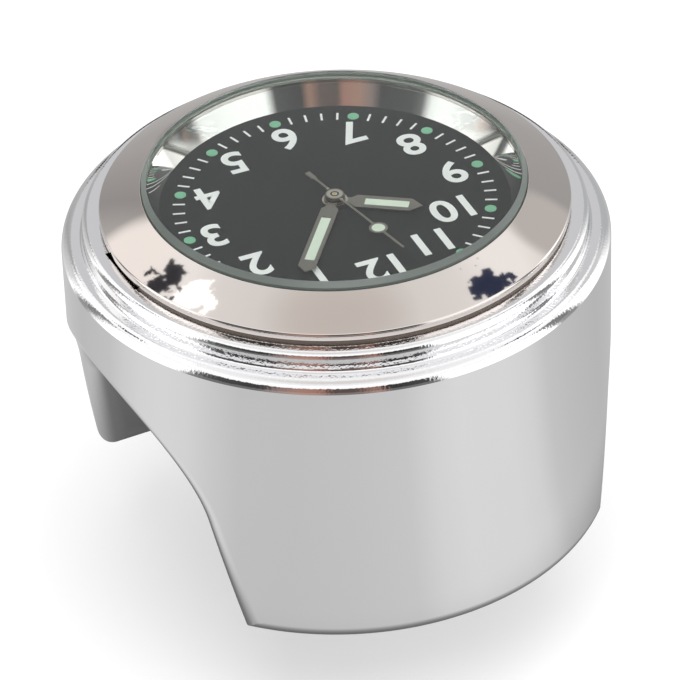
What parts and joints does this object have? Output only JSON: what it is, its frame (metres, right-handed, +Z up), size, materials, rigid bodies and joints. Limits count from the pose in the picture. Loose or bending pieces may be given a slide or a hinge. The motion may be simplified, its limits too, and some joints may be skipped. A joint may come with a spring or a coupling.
{
  "type": "handlebar clock",
  "caption": "Round quartz clock in an arched chromed housing that straddles a handlebar and is clamped by a screwed strap; the clock lifts out of its pocket.",
  "frame": {"origin": "on the axis of the bar that the clamp grips, under the middle of the dial", "axes": "+X along the bar, to the 3 o'clock side; +Y across it, to the 12 o'clock side; +Z up through the crystal"},
  "size_m": [0.047, 0.047, 0.0376],
  "materials": {
    "chrome": "polished chrome plate",
    "steel": "satin",
    "zinc": "bright zinc plate",
    "glass": "clear",
    "rubber": "matt black",
    "flange": "polished",
    "dial": "matt black lacquer",
    "lume": "luminous paint",
    "hand": "satin",
    "holder": "moulded",
    "gilt": "gilt",
    "wheel": "polished",
    "board": "solder mask",
    "copper": "enamelled wire",
    "core": "plain",
    "magnet": "sintered",
    "cell": "nickel plate"
  },
  "bodies": {
    "housing": {"housing": "chrome", "bar_pad": "rubber"},
    "strap": {"clamp_strap": "zinc", "strap_pad": "rubber", "spring_washers": "zinc"},
    "screw_12": {"clamp_screw_12": "zinc"},
    "screw_6": {"clamp_screw_6": "zinc"},
    "clock": {"bezel": "steel", "case_ring": "steel", "crystal": "glass", "crystal_gasket": "rubber", "rehaut_ring": "flange", "dial": "dial", "lume_dots": "lume", "seat_gasket": "rubber", "case_oring": "rubber", "case_back": "steel", "back_gasket": "rubber", "movement_holder": "holder", "main_plate": "gilt", "train_bridge": "gilt", "bridge_screws": "zinc", "circuit_block": "board", "quartz_can": "cell", "coil": "copper", "stator": "core", "battery": "cell", "battery_strap": "gilt"},
    "setting_lever": {"setting_lever": "zinc"},
    "crown": {"crown": "steel", "stem": "zinc"},
    "sliding_pinion": {"sliding_pinion": "wheel"},
    "second_hand": {"seconds_wheel": "wheel", "second_hand": "hand", "second_lume": "lume"},
    "minute_hand": {"centre_wheel": "wheel", "minute_hand": "hand", "minute_lume": "lume"},
    "hour_hand": {"hour_wheel": "wheel", "hour_hand": "hand", "hour_lume": "lume"},
    "rotor": {"rotor": "magnet"},
    "fifth_wheel": {"fifth_wheel": "wheel"},
    "third_wheel": {"third_wheel": "wheel"},
    "minute_wheel": {"minute_wheel": "wheel"},
    "setting_wheel": {"setting_wheel": "wheel"}
  },
  "joints": [
    {"name": "strap_lift", "type": "slide", "parent": "housing", "child": "strap", "axis": [0, 0, 1], "range_m": [-0.005, 0]},
    {"name": "screw_12_turn", "type": "hinge", "parent": "strap", "child": "screw_12", "pos_m": [0, 0.0179, -0.006], "axis": [0, 0, 1], "range_deg": [-3600.1, 0]},
    {"name": "screw_6_turn", "type": "hinge", "parent": "strap", "child": "screw_6", "pos_m": [0, -0.0179, -0.006], "axis": [0, 0, 1], "range_deg": [-3600.1, 0]},
    {"name": "clock_lift", "type": "slide", "parent": "housing", "child": "clock", "axis": [0, 0, 1], "range_m": [0, 0.012]},
    {"name": "second_hand_spin", "type": "hinge", "parent": "clock", "child": "second_hand", "pos_m": [0, 0, 0.02085], "axis": [0, 0, 1], "continuous": true},
    {"name": "minute_hand_spin", "type": "hinge", "parent": "clock", "child": "minute_hand", "pos_m": [0, 0, 0.02052], "axis": [0, 0, 1], "continuous": true},
    {"name": "hour_hand_spin", "type": "hinge", "parent": "clock", "child": "hour_hand", "pos_m": [0, 0, 0.0203], "axis": [0, 0, 1], "continuous": true},
    {"name": "rotor_spin", "type": "hinge", "parent": "clock", "child": "rotor", "pos_m": [0.00377, -0.0034, 0.0181], "axis": [0, 0, 1], "continuous": true},
    {"name": "fifth_wheel_spin", "type": "hinge", "parent": "clock", "child": "fifth_wheel", "pos_m": [0.00264, -0.00114, 0.0181], "axis": [0, 0, 1], "continuous": true},
    {"name": "third_wheel_spin", "type": "hinge", "parent": "clock", "child": "third_wheel", "pos_m": [-0.00137, 0.00274, 0.0181], "axis": [0, 0, 1], "continuous": true},
    {"name": "minute_wheel_spin", "type": "hinge", "parent": "clock", "child": "minute_wheel", "pos_m": [0.00287, -0.00017, 0.0189], "axis": [0, 0, 1], "continuous": true},
    {"name": "setting_wheel_spin", "type": "hinge", "parent": "clock", "child": "setting_wheel", "pos_m": [0.00575, -0.00034, 0.0189], "axis": [0, 0, 1], "continuous": true},
    {"name": "crown_pull", "type": "slide", "parent": "clock", "child": "setting_lever", "axis": [0.9982, -0.0593, 0], "range_m": [0, 0.0007]},
    {"name": "crown_turn", "type": "hinge", "parent": "setting_lever", "child": "crown", "pos_m": [0.01797, -0.00107, 0.0181], "axis": [0.9982, -0.0593, 0], "continuous": true},
    {"name": "sliding_pinion_turn", "type": "hinge", "parent": "clock", "child": "sliding_pinion", "pos_m": [0.00719, -0.00043, 0.0181], "axis": [0.9982, -0.0593, 0], "continuous": true}
  ],
  "couplings": [
    {"joint": "screw_12_turn", "follows": "strap_lift", "rad_per_m": 12566},
    {"joint": "screw_6_turn", "follows": "strap_lift", "rad_per_m": 12566},
    {"joint": "minute_hand_spin", "follows": "second_hand_spin", "ratio": 0.016667},
    {"joint": "hour_hand_spin", "follows": "second_hand_spin", "ratio": 0.0013889},
    {"joint": "rotor_spin", "follows": "second_hand_spin", "ratio": 30},
    {"joint": "fifth_wheel_spin", "follows": "second_hand_spin", "ratio": -5},
    {"joint": "third_wheel_spin", "follows": "second_hand_spin", "ratio": -0.13333},
    {"joint": "minute_wheel_spin", "follows": "second_hand_spin", "ratio": -0.0055556},
    {"joint": "setting_wheel_spin", "follows": "second_hand_spin", "ratio": 0.016667},
    {"joint": "sliding_pinion_turn", "follows": "crown_turn", "ratio": 1}
  ]
}
